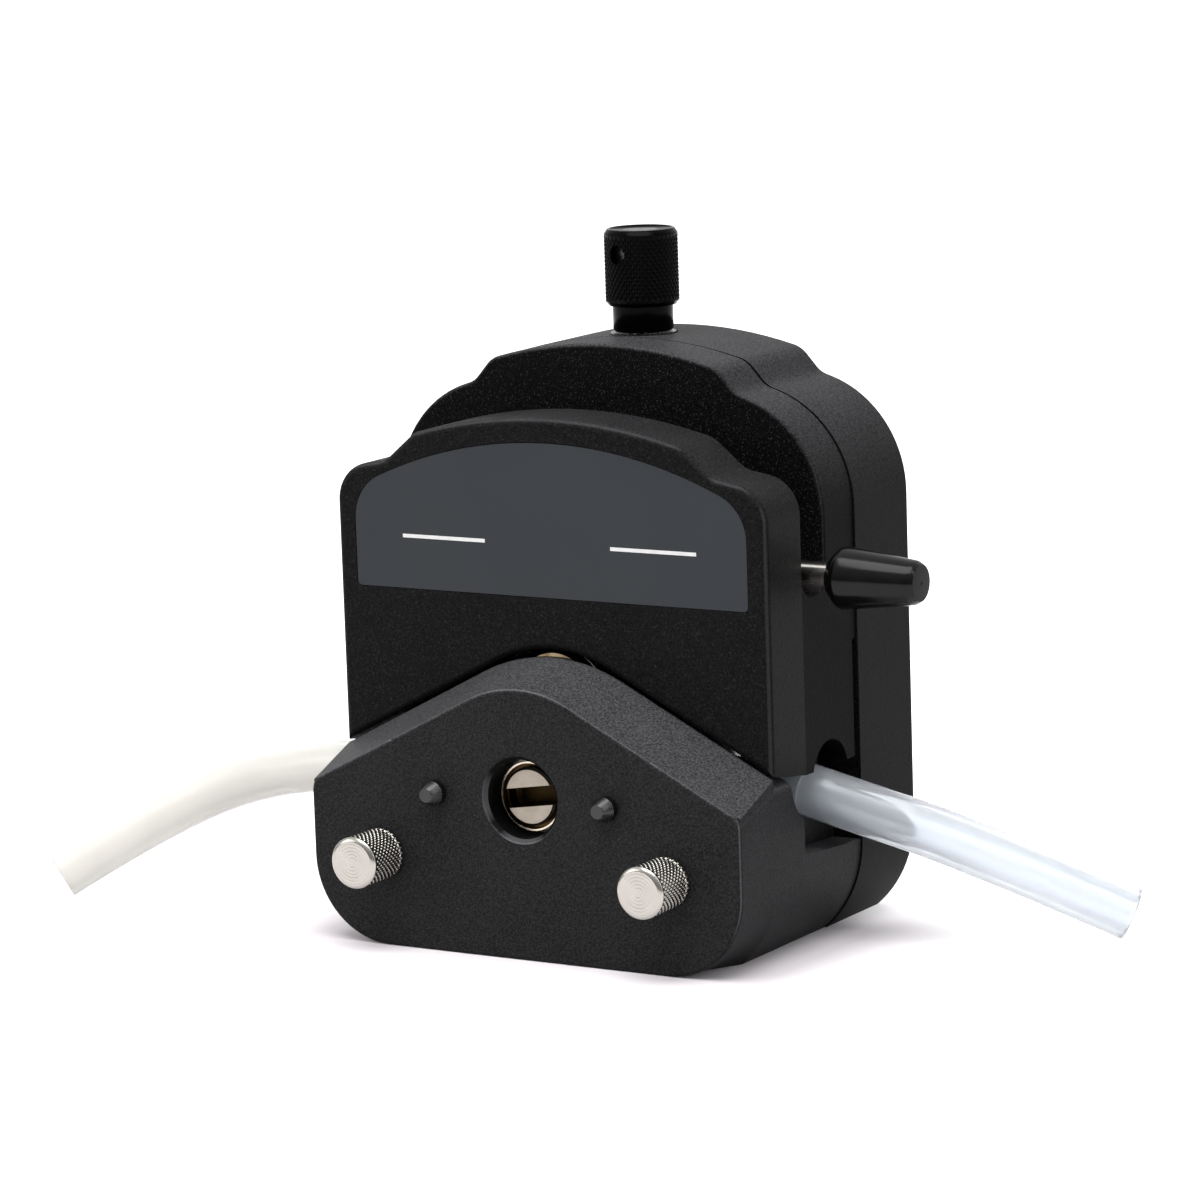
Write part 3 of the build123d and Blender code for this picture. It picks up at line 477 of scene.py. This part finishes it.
def cut_round(piece, radius, start, end):
    """Drills a round hole in a piece, between two points in the piece's own frame."""
    start, end = Vector(start), Vector(end)
    drill = bmesh.new()
    middle = Matrix.Translation((start + end) / 2) @ (end - start).to_track_quat("Z", "Y").to_matrix().to_4x4()
    bmesh.ops.create_cone(drill, cap_ends=True, segments=64, radius1=radius, radius2=radius,
                          depth=(end - start).length, matrix=middle)
    mesh = bpy.data.meshes.new("drill")
    drill.to_mesh(mesh)
    drill.free()
    mesh.materials.append(piece.data.materials[0])
    cutter = bpy.data.objects.new("drill", mesh)
    bpy.context.scene.collection.objects.link(cutter)
    cutter.matrix_world = piece.matrix_world.copy()
    hole = piece.modifiers.new("hole", "BOOLEAN")
    hole.operation, hole.solver, hole.object = "DIFFERENCE", "EXACT", cutter
    bpy.context.view_layer.update()
    done = bpy.data.meshes.new_from_object(piece.evaluated_get(bpy.context.evaluated_depsgraph_get()))
    piece.modifiers.clear()
    piece.data = done
    bpy.data.objects.remove(cutter)


# ---- tubes ----------------------------------------------------------------
def route_line(name, route):
    """The points of a smooth open line that a route in mm guides, from its first point to its last."""
    curve = bpy.data.curves.new(name, "CURVE")
    curve.dimensions = "3D"
    curve.resolution_u = 24
    spline = curve.splines.new("NURBS")
    spline.points.add(len(route) - 1)
    for point, place_mm in zip(spline.points, route):
        point.co = (*(Vector(place_mm) * MM), 1.0)
    spline.order_u = 3
    spline.use_endpoint_u = True
    holder = bpy.data.objects.new(name, curve)
    bpy.context.scene.collection.objects.link(holder)
    line = bpy.data.meshes.new_from_object(holder)
    points = [v.co.copy() for v in line.vertices]
    bpy.data.objects.remove(holder)
    bpy.data.meshes.remove(line)
    return points


def hollow_tube(name, path, outer, inner, material):
    """A tube with its bore along a path, cut square at its ends with slightly eased rims."""
    around = 48
    rings, side = [], Vector((0, 1, 0))
    for n, point in enumerate(path):
        ahead = path[min(n + 1, len(path) - 1)] - path[max(n - 1, 0)]
        ahead.normalize()
        side = (side - ahead * side.dot(ahead)).normalized()
        rings.append((point, ahead, side, ahead.cross(side)))
    ease = 0.25 * MM
    walls = [(rings[0], 0.0, outer - ease), (rings[0], ease, outer)]
    walls += [(ring, 0.0, outer) for ring in rings[1:-1]]
    walls += [(rings[-1], -ease, outer), (rings[-1], 0.0, outer - ease), (rings[-1], 0.0, inner + ease),
              (rings[-1], -ease, inner)]
    walls += [(ring, 0.0, inner) for ring in reversed(rings[1:-1])]
    walls += [(rings[0], ease, inner), (rings[0], 0.0, inner + ease)]
    points = []
    for (centre, ahead, u, w), shift, radius in walls:
        for s in range(around):
            a = 2 * math.pi * s / around
            points.append(centre + ahead * shift + (u * math.cos(a) + w * math.sin(a)) * radius)
    faces = rings_to_faces(len(walls), around)
    last = (len(walls) - 1) * around
    faces += [(last + s, last + (s + 1) % around, (s + 1) % around, s) for s in range(around)]
    return mesh_object(name, points, faces, material)


TUBE_R, BORE_R = 5.4 * MM, 3.2 * MM
# The points that guide each free end, in mm, from the clamp's mouth to the cut end.
routes = {
    "left": ((-44.5, -34.7, -1.3), (-58.0, -34.6, -4.8), (-84.5, -37.0, -6.8), (-104.0, -49.7, -14.8),
             (-120.9, -66.0, -27.5)),
    "right": ((44.5, -34.7, -1.3), (56.0, -33.5, -4.4), (75.0, -25.0, -11.7), (105.3, -10.5, -27.0)),
}
for side, route in routes.items():
    path = route_line("route_" + side, route)
    tube = hollow_tube("free_tube_" + side, path, TUBE_R, BORE_R, materials["tube_" + side])
    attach(tube, "housing")
    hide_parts("tube_" + side)


# ---- lower block's roof ---------------------------------------------------
ROOF_FALL = 0.51   # drop of the roof's slopes for each step sideways


def ridge(x, peak, radius):
    """The height of a gable at x, its slopes meeting at `peak` but for a rounding of `radius`, in mm."""
    lean = math.atan(ROOF_FALL)
    if abs(x) < radius * math.sin(lean):
        return peak - radius / math.cos(lean) + math.sqrt(radius * radius - x * x)
    return peak - ROOF_FALL * abs(x)


def roof():
    """The swell of the lower block's roof, from under the cover's edge to nothing at the front."""
    half_width, back, front, steps = 50.3, 58.0, 71.3, 48
    xs = [half_width * n / steps for n in range(-steps, steps + 1)]
    # Each line across the roof: how far forward it lies, its gable's peak and rounding.  Two lie on top, two below.
    lines = ((back, 31.0, 36.0), (front, 25.8, 26.0), (front, 25.2, 26.0), (back, 28.2, 26.0))
    points = [(x * MM, -d * MM, ridge(x, peak, radius) * MM) for x in xs for d, peak, radius in lines]
    faces = rings_to_faces(len(xs), len(lines))
    faces += [(0, 1, 2, 3), tuple(len(points) - len(lines) + n for n in (3, 2, 1, 0))]
    swell = mesh_object("lower_block_roof", points, faces, materials["body"], smooth=False)
    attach(swell, "housing")


roof()


# ---- locating pins --------------------------------------------------------
def locating_pins():
    """Two pins with plain shoulders and tapered ends, fast in the front face."""
    low, high = size_of("locating_pins")
    radius, shank = 2.6, 1.9
    shape = measured(((0.0, 0.0), (shank, 0.0)), -high.y)
    shape += measured(((shank, 0.0), (radius, 0.0), (radius, 1.55), (2.5, 1.7)), FRONT)
    shape += measured(((1.55, 0.15), (1.4, 0.0), (0.0, 0.0)), -low.y, -1)
    for side, x in (("left", low.x + radius * MM), ("right", high.x - radius * MM)):
        pin = turned("locating_pin_" + side, shape, materials["oxide"], origin=(x, 0, (low.z + high.z) / 2),
                     turn=FRONT_TURN)
        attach(pin, "housing")
        if side == "left":
            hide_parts("locating_pins")


locating_pins()


# ---- thumb screws ---------------------------------------------------------
def thumb_shank(side, origin, rear, back):
    """A shank from `rear` to `back`, its rear end threaded and chamfered."""
    thread_r, shank_r, chamfer = 2.5 * MM, 2.2 * MM, 0.6 * MM
    around, steps, pitch, depth, thread_length = 32, 8, 0.8 * MM, 0.3 * MM, 9.6 * MM
    rows = steps * round(thread_length / pitch)
    points = [(0.0, 0.0, rear)] * around
    for row in range(rows + 1):
        h = rear + row * pitch / steps
        for s in range(around):
            turns = row / steps - s / around
            cut = depth * abs(2 * (turns - math.floor(turns)) - 1)
            r = min(thread_r - cut, thread_r - chamfer + (h - rear))
            a = 2 * math.pi * s / around
            points.append((r * math.cos(a), r * math.sin(a), h))
    thread_end = rear + rows * pitch / steps
    points += swept(((shank_r, thread_end), (shank_r, back), (0.0, back)), around)
    return mesh_object("thumb_shank_" + side, points, rings_to_faces(len(points) // around, around),
                       materials["thumb"], origin=origin, turn=FRONT_TURN)


def thumb_screw(side):
    """Knurled head with a turned, chamfered face, and its shank."""
    low, high = size_of("thumb_screw_" + side)
    origin = Vector(((low.x + high.x) / 2, 0, (low.z + high.z) / 2))
    face, back, rear = -low.y, FRONT + 0.3 * MM, -high.y
    radius = 5.33
    before = measured(((0.0, 0.0), (radius - 0.5, 0.0), (radius, 0.5)), back)
    after = measured(((radius, 0.75), (radius - 0.1, 0.62), (radius - 0.72, 0.0)), face, -1)
    for cut_r in (4.3, 3.6, 2.9, 2.2, 1.5, 0.8):
        after += measured(((cut_r, 0.0), (cut_r - 0.15, 0.045), (cut_r - 0.3, 0.0)), face, -1)
    after += measured(((0.0, 0.15),), face, -1)
    head = knurled("thumb_head_" + side, radius * MM, back + 0.5 * MM, face - 0.8 * MM, before, after,
                   materials["thumb"], cells=30, pitch=1.25 * MM, depth=0.40 * MM, width=0.86, origin=origin,
                   turn=FRONT_TURN)
    shank = thumb_shank(side, origin, rear, back)
    for piece in (head, shank):
        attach(piece, "thumb_" + side)
    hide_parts("thumb_screw_" + side)


for side in ("left", "right"):
    thumb_screw(side)


# ---- gap knob -------------------------------------------------------------
def gap_knob():
    """Knurled knob with a necked foot, a rimmed top and a cross hole for a bar."""
    low, high = size_of("gap_knob")
    centre = Vector(((low.x + high.x) / 2, (low.y + high.y) / 2, 0))
    base, top, screw_end, hole_z = low.z, high.z, 100 * MM, 104 * MM
    waist = base + 5.4 * MM
    radius, neck_r, screw_r, hole_r = 7.65, 6.25, 3.0, 1.95
    before = measured(((0.0, 0.0), (screw_r, 0.0)), screw_end)
    before += measured(((screw_r, 0.0), (neck_r - 0.3, 0.0), (neck_r, 0.35)), base)
    before += measured(((neck_r, 0.0), (7.0, 0.0), (7.55, 0.75)), waist)
    after = measured(((7.6, 1.0), (7.0, 0.1), (6.75, 0.0), (6.45, 0.05), (6.3, 0.28), (0.4, 0.28), (0.0, 0.35)),
                     top, -1)
    knob = knurled("knurled_knob", radius * MM, waist + 0.8 * MM, top - 1.1 * MM, before, after,
                   materials["knob"], cells=40, pitch=1.65 * MM, depth=0.34 * MM, width=0.7, origin=centre)
    cut_round(knob, hole_r * MM, (0, 0, hole_z), (-2.64 * MM, -11.7 * MM, hole_z))
    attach(knob, "gap_knob_body")
    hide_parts("gap_knob")


gap_knob()


# ---- lever handle ---------------------------------------------------------
def lever_handle():
    """Tapered gloss grip with a dull, dimpled end face, turned about the lever's rod."""
    low, high = size_of("lever_handle")
    start, end = low.x, high.x
    origin = Vector((0, (low.y + high.y) / 2, (low.z + high.z) / 2))
    rod_r, rod_end = 3.0, 68 * MM
    profile = measured(((0.0, 0.0), (rod_r, 0.0)), rod_end)
    profile += measured(((rod_r, 0.0), (4.1, 0.0), (4.35, 0.25), (5.75, 1.65), (6.1, 2.1), (6.28, 2.6), (6.3, 3.1),
                         (6.2, 4.0)), start)
    profile += measured(((4.5, 1.5), (4.4, 1.15), (4.2, 0.75), (3.85, 0.2), (3.7, 0.03), (3.55, 0.0), (0.5, 0.0),
                         (0.4, 0.12), (0.0, 0.2)), end, -1)
    grip = turned("handle_grip", profile, materials["handle"], origin=origin,
                  turn=Matrix.Rotation(math.radians(90), 3, "Y"))
    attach(grip, "lever")
    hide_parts("lever_handle")


lever_handle()


# ---- label ----------------------------------------------------------------
def printed_lines():
    """The two white rules printed on the label, either side of its bare middle."""
    low, _ = size_of("label_plate")
    proud, thick, half = 0.01 * MM, 0.02 * MM, 0.38 * MM
    y, z = low.y - proud, 49.7 * MM
    for side, s in (("left", -1), ("right", 1)):
        inner, outer = s * 14.8 * MM, s * 34.6 * MM
        points = [(inner, y, z - half), (outer, y, z - half), (outer, y, z + half), (inner, y, z + half)]
        points += [(px, y + thick, pz) for px, _, pz in points]
        faces = [(0, 1, 2, 3), (7, 6, 5, 4), (0, 4, 5, 1), (1, 5, 6, 2), (2, 6, 7, 3), (3, 7, 4, 0)]
        rule = mesh_object("label_rule_" + side, points, faces, materials["print"], smooth=False)
        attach(rule, "upper_block")


printed_lines()


# ---- studio ---------------------------------------------------------------
def beyond(tree, value, centre, half):
    """How far a coordinate lies outside a span of `half` either side of its centre, and 0 inside."""
    off = maths(tree, "ABSOLUTE", maths(tree, "SUBTRACT", value, centre))
    return maths(tree, "MAXIMUM", maths(tree, "SUBTRACT", off, half), 0.0)


def floor_material():
    """Paper white that keeps a shadow only close to the pump's foot, and throws little light back."""
    material, tree, shader = fresh("floor_white")
    shader.inputs["Roughness"].default_value = 0.9
    shader.inputs["Specular IOR Level"].default_value = 0.0
    rays = add(tree, "ShaderNodeLightPath")
    bounced = maths(tree, "ADD", rays.outputs["Is Glossy Ray"], rays.outputs["Is Transmission Ray"])
    seen = maths(tree, "ADD", rays.outputs["Is Camera Ray"], bounced, clamp=True)
    link(tree, ramp(tree, seen, ((0.0, 0.42), (1.0, (0.72, 0.68, 0.71)))), shader.inputs["Base Color"])
    low, high = size_of("lower_block")
    x, y, _ = spread(tree, place(tree))
    dx = beyond(tree, x, (low.x + high.x) / 2, (high.x - low.x) / 2)
    dy = beyond(tree, y, (low.y + high.y) / 2, (high.y - low.y) / 2)
    dark_to, clear_from, scale = 2 * MM, 30 * MM, 20.0   # the scale brings both within the ramp
    away = maths(tree, "MULTIPLY", distance(tree, dx, dy), scale)
    glow = ramp(tree, away, ((dark_to * scale, 0.02), (clear_from * scale, 0.8)))
    shader.inputs["Emission Color"].default_value = (1, 1, 1, 1)
    link(tree, maths(tree, "MULTIPLY", seen, glow), shader.inputs["Emission Strength"])
    one_sided = add(tree, "ShaderNodeMixShader")
    link(tree, add(tree, "ShaderNodeNewGeometry").outputs["Backfacing"], one_sided.inputs[0])
    link(tree, shader.outputs[0], one_sided.inputs[1])
    link(tree, add(tree, "ShaderNodeBsdfTransparent").outputs[0], one_sided.inputs[2])
    link(tree, one_sided.outputs[0], tree.nodes["Material Output"].inputs["Surface"])
    return material


FOOT = -33 * MM                       # the height of the pump's flat base
LAMP_TARGET = Vector((0, -0.03, 0.03))


def make_floor():
    """A white floor at the pump's foot, seen from above only."""
    bpy.ops.mesh.primitive_plane_add(size=12, location=(0, 0, FOOT))
    floor = bpy.context.object
    floor.name = "floor"
    floor.data.materials.append(floor_material())


def make_world():
    """Plain white to the camera, and a soft light from above and the left."""
    world = bpy.data.worlds.new("studio")
    bpy.context.scene.world = world
    world.use_nodes = True
    tree = world.node_tree
    background = tree.nodes["Background"]
    rays = add(tree, "ShaderNodeLightPath")
    x, y, z = spread(tree, add(tree, "ShaderNodeTexCoord").outputs["Generated"])
    above = ramp(tree, z, ((0.0, 0.0), (0.75, 1.0)))
    leftward = ramp(tree, maths(tree, "MULTIPLY", x, -1.0), ((0.0, 0.0), (0.8, 1.0)))
    surround = maths(tree, "ADD", maths(tree, "MULTIPLY", above, 0.75), maths(tree, "MULTIPLY", leftward, 0.35))
    surround = maths(tree, "ADD", surround, 0.10)
    behind = ramp(tree, y, ((0.0, 0.0), (0.5, 1.0)))
    backdrop = maths(tree, "MULTIPLY", rays.outputs["Is Glossy Ray"], behind)
    white = maths(tree, "MAXIMUM", rays.outputs["Is Camera Ray"], rays.outputs["Is Transmission Ray"])
    white = maths(tree, "MAXIMUM", white, backdrop)
    keep = maths(tree, "SUBTRACT", 1.0, white)
    link(tree, maths(tree, "ADD", white, maths(tree, "MULTIPLY", keep, surround)), background.inputs["Strength"])
    background.inputs["Color"].default_value = (1, 1, 1, 1)


def lamp(name, width, height, power, spot, colour=(1, 1, 1)):
    """A rectangular lamp that shines at the pump's middle."""
    data = bpy.data.lights.new(name, "AREA")
    data.shape, data.size, data.size_y = "RECTANGLE", width, height
    data.energy, data.color = power, colour
    made = bpy.data.objects.new(name, data)
    made.location = spot
    made.rotation_euler = (LAMP_TARGET - Vector(spot)).to_track_quat("-Z", "Y").to_euler()
    bpy.context.scene.collection.objects.link(made)


make_floor()
make_world()
lamp("overhead", width=1.0, height=0.8, power=15, spot=(0.12, -0.38, 1.15))
lamp("left_box", width=0.7, height=0.7, power=4.5, spot=(-0.9, -0.75, 0.55), colour=(1.0, 0.98, 0.95))
lamp("right_strip", width=0.06, height=0.9, power=1.5, spot=(0.75, -0.25, 0.5))

scene = bpy.context.scene
scene.view_settings.view_transform = "Standard"
